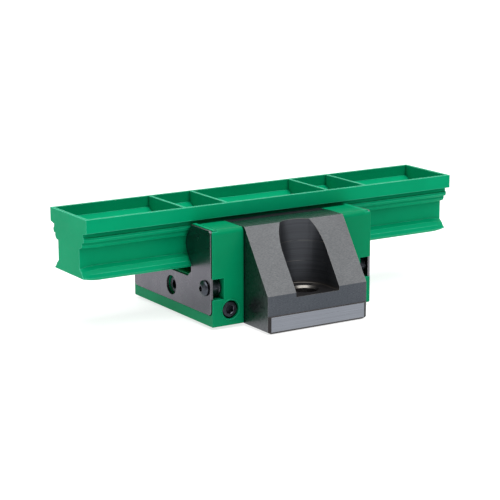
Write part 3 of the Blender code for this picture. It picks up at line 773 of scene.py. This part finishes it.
def turn_frame(row, row_return):
    """Middle of a turn, its radius, and its axes along the rail, across the turn and through its axle."""
    middle = (row + row_return) / 2
    across = (row_return - row).normalized()
    along = Vector((1, 0, 0))
    across = Vector((0, across.x, across.y))
    return Vector((0, middle.x, middle.y)), (row_return - row).length / 2, along, across, along.cross(across)


def loop_point(distance, straight, radius, middle, along, across):
    """A point on a circuit, at a distance from the start of its loaded row."""
    half_turn = math.pi * radius
    if distance < straight:
        return middle + along * (distance - straight / 2) - across * radius
    distance -= straight
    if distance < half_turn:
        angle = distance / radius
        return middle + along * (straight / 2 + radius * math.sin(angle)) - across * radius * math.cos(angle)
    distance -= half_turn
    if distance < straight:
        return middle + along * (straight / 2 - distance) + across * radius
    angle = (distance - straight) / radius
    return middle - along * (straight / 2 + radius * math.sin(angle)) + across * radius * math.cos(angle)


def ball_circuit(name, row, row_return):
    """Separate polished balls at their places along a closed circuit."""
    middle, radius, along, across, _ = turn_frame(row, row_return)
    straight = 2 * REACH
    loop = 2 * straight + 2 * math.pi * radius
    balls = math.floor(loop / BALL_PITCH)
    bm = bmesh.new()
    for ball in range(balls):
        centre = loop_point((ball + 0.5) * loop / balls, straight, radius, middle, along, across)
        bmesh.ops.create_uvsphere(
            bm, u_segments=20, v_segments=12, radius=BALL_RADIUS, matrix=Matrix.Translation(centre)
        )
    return link(name, mesh_of(bm, name))


def turn_tool(name, row, row_return, tube_radius=None, disc=None):
    """A ring or a disc about the axle of a turn at the steel body's right end."""
    middle, radius, along, across, axle = turn_frame(row, row_return)
    place = Matrix((along, across, axle)).transposed().to_4x4()
    place.translation = middle + along * REACH
    bm = bmesh.new()
    if disc:
        bmesh.ops.create_cone(bm, cap_ends=True, segments=48, depth=2 * disc, radius1=radius, radius2=radius)
    else:
        bpy.ops.mesh.primitive_torus_add(
            major_segments=48, minor_segments=24, major_radius=radius, minor_radius=tube_radius
        )
        ring = bpy.context.object
        bm.from_mesh(ring.data)
        remove(ring)
    bm.transform(place)
    return link(name, mesh_of(bm, name))


# ---- End pieces, wipers, plates ----


def port_rim(side):
    """A low rounded ring around the side port, half sunk in the side face."""
    bpy.ops.mesh.primitive_torus_add(
        major_segments=64, minor_segments=12, major_radius=PORT_RIM_RADIUS, minor_radius=PORT_RIM,
        location=(SIDE_PORT[0], side * END_HIGH.y, SIDE_PORT[1]), rotation=(math.pi / 2, 0, 0),
    )
    ring = bpy.context.object
    ring.data.transform(ring.matrix_basis)
    ring.matrix_basis.identity()
    return ring


def end_piece():
    """Right end piece, its edges rounded before ports, notches and turns are cut."""
    right = list(END_OPENING) + [(END_HIGH.y, END_HIGH.z), (END_HIGH.y, END_LOW.z)]
    outline = both_halves(right)
    corner = len(END_OPENING)
    last = len(outline) - 1
    outline = fillet(outline, {corner: 1.8, corner + 1: 0.6, last - corner: 1.8, last - corner - 1: 0.6}, 8)
    body = bar("end_cap_right", outline, "X", REACH + END_TO_STEEL, END_HIGH.x)
    bevel(body, 0.28, 3, 40)
    floor = WIPER_LOW.x - GAP
    width = HALF_PLATE + GAP
    foot = PLATE_LOW.z - GAP
    recess = fillet([(width, foot), (width, 50), (-width, 50), (-width, foot)], {0: 1.7, 3: 1.7}, 8)
    boolean(body, bar("recess", recess, "X", floor, END_HIGH.x + 5))
    boolean(body, rod("port", "X", (0, PORT_Z), PORT_RADIUS + GAP, PORT_BOTTOM_X, END_HIGH.x))
    for side in (-1, 1):
        low, high = sorted((side * NOTCH_INNER_Y, side * (END_HIGH.y + 1)))
        boolean(body, block("notch", (NOTCH_START, low, NOTCH_LOW), (END_HIGH.x + 1, high, NOTCH_HIGH)))
        centre = (side * COLLAR.x, COLLAR.y)
        boolean(body, rod("screw_way", "X", centre, THREAD_HOLE, END_LOW.x - 1, END_HIGH.x, 32))
        boolean(body, port_rim(side), "UNION")
        low, high = sorted((side * SIDE_PORT_BOTTOM_Y, side * (END_HIGH.y + 1)))
        boolean(body, rod("side_port", "Y", SIDE_PORT, PORT_RADIUS + GAP, low, high, 64))
        for row, row_return in ROWS.values():
            at_row = Vector((side * row.x, row.y))
            at_return = Vector((side * row_return.x, row_return.y))
            boolean(body, turn_tool("turn", at_row, at_return, TURN_RADIUS))
            boolean(body, turn_tool("seat", at_row, at_return, disc=TURN_GUIDE_HALF_WIDTH + GAP))
    tidy(body)
    return body


def end_plate():
    """Right front plate: rounded sheet with the rail's opening, a port and two screw holes."""
    right = list(PLATE_OPENING) + [(HALF_PLATE, PLATE_HIGH.z), (HALF_PLATE, PLATE_LOW.z)]
    outline = both_halves(right)
    corner = len(right) - 2
    last = len(outline) - 1
    outline = fillet(outline, {corner: 1.5, corner + 1: 1.5, last - corner: 1.5, last - corner - 1: 1.5}, 8)
    plate = bar("front_plate_right", outline, "X", PLATE_LOW.x, PLATE_HIGH.x)
    boolean(plate, rod("port", "X", (0, PORT_Z), PLATE_PORT_RADIUS, PLATE_LOW.x - 3, PLATE_HIGH.x + 3, 64))
    for side in (-1, 1):
        centre = (side * COLLAR.x, COLLAR.y)
        boolean(plate, rod("hole", "X", centre, THREAD_HOLE, PLATE_LOW.x - 3, PLATE_HIGH.x + 3, 32))
    bevel(plate, 0.1, 2, 40)
    return plate


def end_wiper():
    """Wiper plate behind the right front plate, its lip a little further into the rail's opening."""
    top = END_HIGH.z - 0.1
    notch = NOTCH_INNER_Y - 0.2
    lip = [
        (11.7, 17.1), (14.1, 19.0), (14.1, 21.2), (13.1, 22.5), (11.0, 25.85), (10.1, 28.4),
        (10.85, 31.3), (13.0, 33.95), (13.9, top),
    ]
    outer = [
        (HALF_PLATE, top), (WIPER_HIGH.y, NOTCH_HIGH + 0.2), (notch, NOTCH_HIGH + 0.2),
        (notch, NOTCH_LOW - 0.2), (WIPER_HIGH.y, NOTCH_LOW - 0.2), (WIPER_HIGH.y, WIPER_LOW.z),
    ]
    back, front = WIPER_LOW.x - WIPER_GROWTH, WIPER_HIGH.x + WIPER_GROWTH
    wiper = bar("wiper_right", both_halves(lip + outer), "X", back, front)
    boolean(wiper, rod("port", "X", (0, PORT_Z), WIPER_PORT_RADIUS, WIPER_LOW.x - 1, WIPER_HIGH.x + 1))
    bevel(wiper, 0.12, 2, 40)
    return wiper


def leg_seal():
    """Seal strip of the far leg, with a shallow groove along its top."""
    section = [
        (15.1, 32.5), (19.3, 32.6), (19.3, 35.9), (17.6, 35.9), (17.4, 35.6), (16.6, 35.6), (16.4, 35.9),
        (14.3, 35.9), (13.5, 34.9), (13.6, 34.5), (15.1, 34.1),
    ]
    seal = bar("leg_strip_far", section, "X", SEAL_LOW.x, SEAL_HIGH.x)
    bevel(seal, 0.1, 2, 30)
    return seal


# ---- Screws and plugs ----


def hexagon(name, axis, centre, across_flats, low, high):
    return rod(name, axis, centre, across_flats / math.sqrt(3), low, high, 6)


def button_screw():
    """Button-head screw: domed head with a rounded rim and a hexagon socket, plain shank."""
    seat = BUTTON_HIGH.x - BUTTON_HEIGHT
    rim = 0.12
    angles = [math.radians(degrees) for degrees in range(0, 91, 6)]
    profile = [(BUTTON_RADIUS * math.sin(a), rim + (BUTTON_HEIGHT - rim) * math.cos(a)) for a in angles]
    profile += [
        (BUTTON_RADIUS - rim, 0), (THREAD_RADIUS, 0), (THREAD_RADIUS, 0.2 - BUTTON_SHANK),
        (THREAD_RADIUS - 0.2, -BUTTON_SHANK), (0, -BUTTON_SHANK),
    ]
    place = Matrix.Translation((seat, COLLAR.x, COLLAR.y)) @ Matrix.Rotation(math.pi / 2, 4, "Y")
    screw = turned("button_screw_right_far", profile, 56, place)
    boolean(screw, hexagon("socket", "X", (COLLAR.x, COLLAR.y), BUTTON_SOCKET, seat + 0.45, seat + 3))
    return screw


def collar_screw():
    """Hexagon standoff with a round flange, threaded shank with turned-in grooves."""
    centre = (COLLAR.x, COLLAR.y)
    flange = NOTCH_START + GAP
    place = Matrix.Translation((flange, *centre)) @ Matrix.Rotation(math.pi / 2, 4, "Y")
    rim = COLLAR_FLANGE_RADIUS
    collar = [
        (0, COLLAR_FLANGE), (rim - 0.2, COLLAR_FLANGE), (rim, COLLAR_FLANGE - 0.2),
        (rim, 0.2), (rim - 0.2, 0), (0, 0),
    ]
    screw = turned("hex_collar_right_far", collar, 48, place)
    boolean(screw, hexagon("hexagon", "X", centre, COLLAR_HEXAGON, flange + 0.5, COLLAR_HIGH.x), "UNION")
    thread = [(0, 0.4), (THREAD_RADIUS, 0.4)]
    pitch = 0.6
    length = flange - COLLAR_LOW.x
    depth = 0.0
    while depth + pitch < length - 0.4:
        thread += [(THREAD_RADIUS, -depth), (THREAD_RADIUS - 0.3, -depth - pitch / 2)]
        depth += pitch
    thread += [(THREAD_RADIUS, -depth), (THREAD_RADIUS - 0.4, -length), (0, -length)]
    boolean(screw, turned("shank", thread, 32, place), "UNION")
    boolean(screw, rod("inner_thread", "X", centre, THREAD_HOLE, flange + 0.3, COLLAR_HIGH.x + 1, 32))
    return screw


def grub_screw(name, axis, centre, low, high):
    """Grub screw, its socket in the outer end, its rims chamfered."""
    length = high - low
    profile = [
        (0, length), (PORT_RADIUS - 0.45, length), (PORT_RADIUS, length - 0.4),
        (PORT_RADIUS, 0.4), (PORT_RADIUS - 0.45, 0), (0, 0),
    ]
    if axis == "X":
        place = Matrix.Translation((low, *centre)) @ Matrix.Rotation(math.pi / 2, 4, "Y")
    else:
        place = Matrix.Translation((centre[0], low, centre[1])) @ Matrix.Rotation(-math.pi / 2, 4, "X")
    screw = turned(name, profile, 48, place)
    mouth = PLUG_SOCKET / 2
    boolean(screw, rod("mouth", axis, centre, mouth, high - 0.25, high + 0.25, 48, mouth + 0.5))
    boolean(screw, hexagon("socket", axis, centre, PLUG_SOCKET, high - PLUG_SOCKET_DEPTH, high + 1))
    return screw


# ---- Transport rail ----


def rail():
    """Loft along X with relieved ends, hollowed into ribbed pockets with drafted walls."""
    ends = (RAIL_LOW.x, RAIL_HIGH.x)
    steps = 6
    stations = []
    for step in range(steps + 1):
        share = step / steps
        blend = math.sin(share * math.pi / 2)
        section = [
            tuple(Vector(a).lerp(Vector(b), blend)) for a, b in zip(RAIL_END_SECTION, RAIL_SECTION)
        ]
        stations.append((share * RAIL_TAPER, section))
    rings = [(ends[0] + depth, section) for depth, section in stations]
    rings += [(ends[1] - depth, section) for depth, section in reversed(stations)]
    bm = bmesh.new()
    loops = []
    for x, section in rings:
        verts = [bm.verts.new((x, y, z)) for y, z in both_halves(section)]
        loops.append([bm.edges.new((a, b)) for a, b in zip(verts, verts[1:] + verts[:1])])
    for first, second in zip(loops, loops[1:]):
        bmesh.ops.bridge_loops(bm, edges=first + second)
    bmesh.ops.holes_fill(bm, edges=bm.edges, sides=0)
    body = link("green_rail", mesh_of(bm, "green_rail"))
    rib = RIB_THICKNESS / 2
    edges = [ends[0] + RAIL_WALL]
    for place in RIB_PLACES:
        edges += [RAIL_CENTRE + place - rib, RAIL_CENTRE + place + rib]
    edges.append(ends[1] - RAIL_WALL)
    wall = [(TRAY_HALF_WIDTH, TRAY_WALL_FOOT), (TRAY_HALF_WIDTH, 50)]
    pocket = fillet(both_halves([CAVITY_FLOOR, SHELF_INNER] + wall), {0: 1.2, 7: 1.2}, 6)
    for low, high in zip(edges[::2], edges[1::2]):
        boolean(body, bar("pocket", pocket, "X", low, high))
    tidy(body, 0.3)
    bevel(body, 0.1, 2, 14)
    return body


# ---- Stage ----


def stage():
    """Pale floor with a glow of its own, soft sky, wide sun and the camera."""
    bpy.ops.mesh.primitive_plane_add(size=60.0, location=(0, 0, -0.0002))
    floor = bpy.context.object
    floor.name = "studio_floor"
    paint = Shading("studio_white", 0.9, 0.0, 0.1)
    paint.colour(paint.mix(paint.noise(3.0), (0.42, 0.42, 0.42), (0.44, 0.44, 0.44)))
    paint.shader.inputs["Emission Color"].default_value = (1.0, 1.0, 1.0, 1.0)
    paint.shader.inputs["Emission Strength"].default_value = FLOOR_GLOW
    floor.data.materials.append(paint.material)
    studio_sky()
    overhead_sun()

    scene = bpy.context.scene
    scene.view_settings.view_transform = "Standard"
    camera_data = bpy.data.cameras.new("camera")
    camera_data.lens = CAMERA_LENS
    camera = link("camera", camera_data)
    azimuth, elevation = math.radians(CAMERA_AZIMUTH), math.radians(CAMERA_ELEVATION)
    right = Vector((math.cos(azimuth), math.sin(azimuth), 0))
    level = Vector((math.sin(azimuth), -math.cos(azimuth), 0))
    back = level * math.cos(elevation) + Vector((0, 0, math.sin(elevation)))
    up = back.cross(right)
    facing = Matrix((right, up, back)).transposed() @ Matrix.Rotation(math.radians(CAMERA_ROLL), 3, "Z")
    place = facing.to_4x4()
    place.translation = CAMERA_TARGET + facing @ Vector((CAMERA_SIDE, CAMERA_RISE, CAMERA_DISTANCE))
    camera.matrix_world = place
    scene.camera = camera


def studio_sky():
    """A tent of soft light: bright overhead and behind, dim in front."""
    world = bpy.data.worlds.new("studio_world")
    bpy.context.scene.world = world
    world.use_nodes = True
    nodes, links = world.node_tree.nodes, world.node_tree.links
    direction = nodes.new("ShaderNodeTexCoord")
    towards = nodes.new("ShaderNodeVectorMath")
    towards.operation = "DOT_PRODUCT"
    towards.inputs[1].default_value = SKY_SLOPE
    links.new(direction.outputs["Generated"], towards.inputs[0])
    strength = nodes.new("ShaderNodeMath")
    strength.operation = "ADD"
    strength.inputs[1].default_value = SKY_BASE
    links.new(towards.outputs["Value"], strength.inputs[0])
    bounded = nodes.new("ShaderNodeMath")
    bounded.operation = "MAXIMUM"
    bounded.inputs[1].default_value = SKY_LEAST
    links.new(strength.outputs[0], bounded.inputs[0])
    background = nodes["Background"]
    background.inputs["Color"].default_value = (1.0, 1.0, 1.0, 1.0)
    links.new(bounded.outputs[0], background.inputs["Strength"])


def overhead_sun():
    """A very wide sun: even, nearly shadowless light from above and a little in front."""
    data = bpy.data.lights.new("overhead", "SUN")
    data.energy = SUN_STRENGTH
    data.angle = math.radians(SUN_ANGLE)
    sun = link("overhead", data)
    sun.rotation_euler = (-Vector(SUN_FROM)).to_track_quat("-Z", "Y").to_euler()


stage()

# Each plastic's third colour is pale: its scratches lean towards it, and it is the painted highlight on outer
# edges.
green = moulded_plastic(
    "green_plastic", (0.0, 0.205, 0.085), (0.0, 0.245, 0.102), (0.05, 0.62, 0.38), 0.36, 0.05
)
rail_green = moulded_plastic(
    "rail_green_plastic", (0.0, 0.29, 0.128), (0.0, 0.33, 0.147), (0.22, 0.9, 0.72), 0.36, 0.03
)
lip_green = elastomer("wiper_green", (0.0, 0.26, 0.11), (0.001, 0.33, 0.15), 0.42)
plate_steel = sheet_steel(
    "front_plate_steel", (0.086, 0.084, 0.1), (0.122, 0.118, 0.136), 0.26, (0.34, 0.33, 0.35)
)
# The plate's cut sides take a lighter steel: partly bare sheared metal, partly painted highlight.
plate_edge = sheet_steel("front_plate_edge", (0.13, 0.128, 0.142), (0.19, 0.187, 0.2), 0.4, (0.4, 0.39, 0.4))
screw_black = black_oxide("screw_black")
seal_black = elastomer("seal_black", (0.003, 0.005, 0.006), (0.008, 0.011, 0.013), 0.5)
guide_white = natural_plastic("guide_plastic")
balls = bearing_steel("ball_steel")
steel_finishes = {
    BLASTED: blasted_steel(
        "steel_blasted", (0.12, 0.125, 0.13), (0.258, 0.265, 0.273), 0.58, (0.4, 0.4, 0.4)
    ),
    FLANGE_FACE: blasted_steel(
        "steel_flange", (0.05, 0.058, 0.07), (0.115, 0.124, 0.14), 0.42, (0.3, 0.3, 0.3)
    ),
    STRIP_FACE: ground_steel(
        "steel_strip", (0.175, 0.187, 0.212), (0.25, 0.266, 0.3), 0.3, (0.5, 0.5, 0.52), (20.0, 20.0, 3000.0)
    ),
    GROUND: ground_steel(
        "steel_ground", (0.24, 0.245, 0.255), (0.32, 0.325, 0.335), 0.22, (0.5, 0.5, 0.5),
        (25.0, 1800.0, 1800.0)
    ),
    LEG_FACE: ground_steel(
        "steel_leg_top", (0.075, 0.088, 0.095), (0.11, 0.126, 0.135), 0.27, (0.5, 0.5, 0.5),
        (25.0, 1800.0, 1800.0)
    ),
    END_FACE: ground_steel(
        "steel_end_face", (0.08, 0.083, 0.09), (0.125, 0.13, 0.138), 0.3, (0.3, 0.3, 0.3),
        (60.0, 900.0, 900.0)
    ),
    TURNED: turned_steel(
        "steel_turned", (0.04, 0.043, 0.049), (0.074, 0.079, 0.09), 0.4, (0.42, 0.39, 0.34),
        (0.075, 0.067, 0.057)
    ),
    FRESH_CUT: ground_steel(
        "steel_fresh_cut", (0.13, 0.122, 0.11), (0.19, 0.18, 0.165), 0.32, (0.6, 0.58, 0.54),
        (700.0, 700.0, 900.0)
    ),
    # Very dark steel for the holes' bores, the bottom chamfer and the strip's ends: painted shade.
    GROOVE_SHADE: blasted_steel(
        "steel_groove_shade", (0.03, 0.029, 0.031), (0.06, 0.057, 0.057), 0.5, (0.3, 0.28, 0.26)
    ),
}

saddle([steel_finishes[finish] for finish in sorted(steel_finishes)])
place_right_and_left(dress(end_piece(), [green]), "end_piece_right")
place_right_and_left(
    dress(end_plate(), [plate_steel, plate_edge], lambda centre, normal: int(abs(normal.x) < 0.5)),
    "end_plate_right",
)
place_right_and_left(dress(end_wiper(), [lip_green]), "end_wiper_right")
front_plug = grub_screw("front_grub_right", "X", (0, PORT_Z), FRONT_PLUG_LOW.x, FRONT_PLUG_HIGH.x)
place_right_and_left(dress(front_plug, [screw_black]), "front_port_plug_right")
place_at_corners(dress(button_screw(), [screw_black]), "plate_screw_right_far")
place_at_corners(dress(collar_screw(), [screw_black]), "collar_screw_right_far")
side_plug = grub_screw("side_grub_right_far", "Y", SIDE_PORT, SIDE_PLUG_LOW.y, SIDE_PLUG_HIGH.y)
place_at_corners(dress(side_plug, [screw_black]), "side_port_plug_right_far")
place_far_and_near(dress(leg_seal(), [seal_black]), "leg_seal_far")
for level, (row, row_return) in ROWS.items():
    circuit = ball_circuit(f"balls_far_{level}", row, row_return)
    place_far_and_near(dress(circuit, [balls]), f"ball_chain_far_{level}")
finish_piece(dress(rail(), [rail_green]), "dummy_rail", RAIL, 8)

for node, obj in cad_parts.items():
    if obj.hide_render:
        continue
    for slot in obj.material_slots:
        slot.material = seal_black if "seal" in node else guide_white
